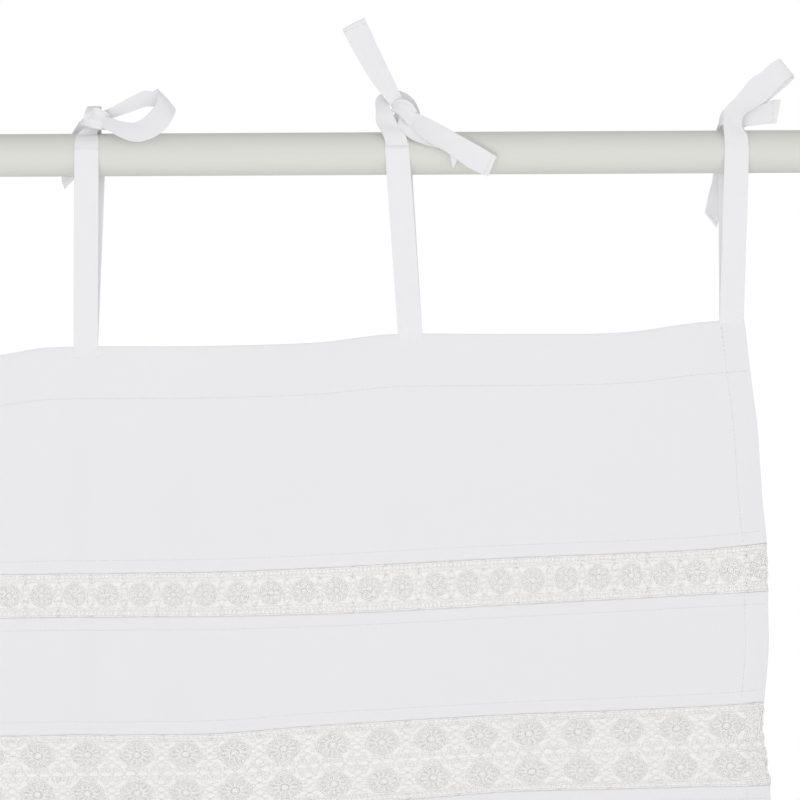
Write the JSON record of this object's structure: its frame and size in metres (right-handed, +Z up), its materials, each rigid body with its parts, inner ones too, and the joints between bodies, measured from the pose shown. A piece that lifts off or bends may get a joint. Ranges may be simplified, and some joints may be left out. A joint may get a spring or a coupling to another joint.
{
  "type": "cafe curtain on a rod",
  "caption": "White cotton cafe curtain with lace insertions, tied by cotton tapes to a plain round rod.",
  "frame": {"origin": "centre of the rod's left end face", "axes": "+X along the rod to its right end, +Z up, front of the cloth towards -Y"},
  "size_m": [0.72, 0.0377, 0.7977],
  "materials": {
    "rod_paint": "warm off-white satin paint on wood",
    "white_cotton": "plain woven cotton, matt",
    "lace_cotton": "crochet-type cotton lace, matt",
    "cotton_tape": "cotton tape, matt"
  },
  "bodies": {
    "root": {"rod": "rod_paint", "top_panel": "white_cotton", "narrow_lace": "lace_cotton", "middle_panel": "white_cotton", "wide_lace": "lace_cotton", "lower_panel": "white_cotton", "tie_left": "cotton_tape", "tie_bow": "cotton_tape", "tie_ends": "cotton_tape", "tie_folded": "cotton_tape"}
  },
  "joints": []
}
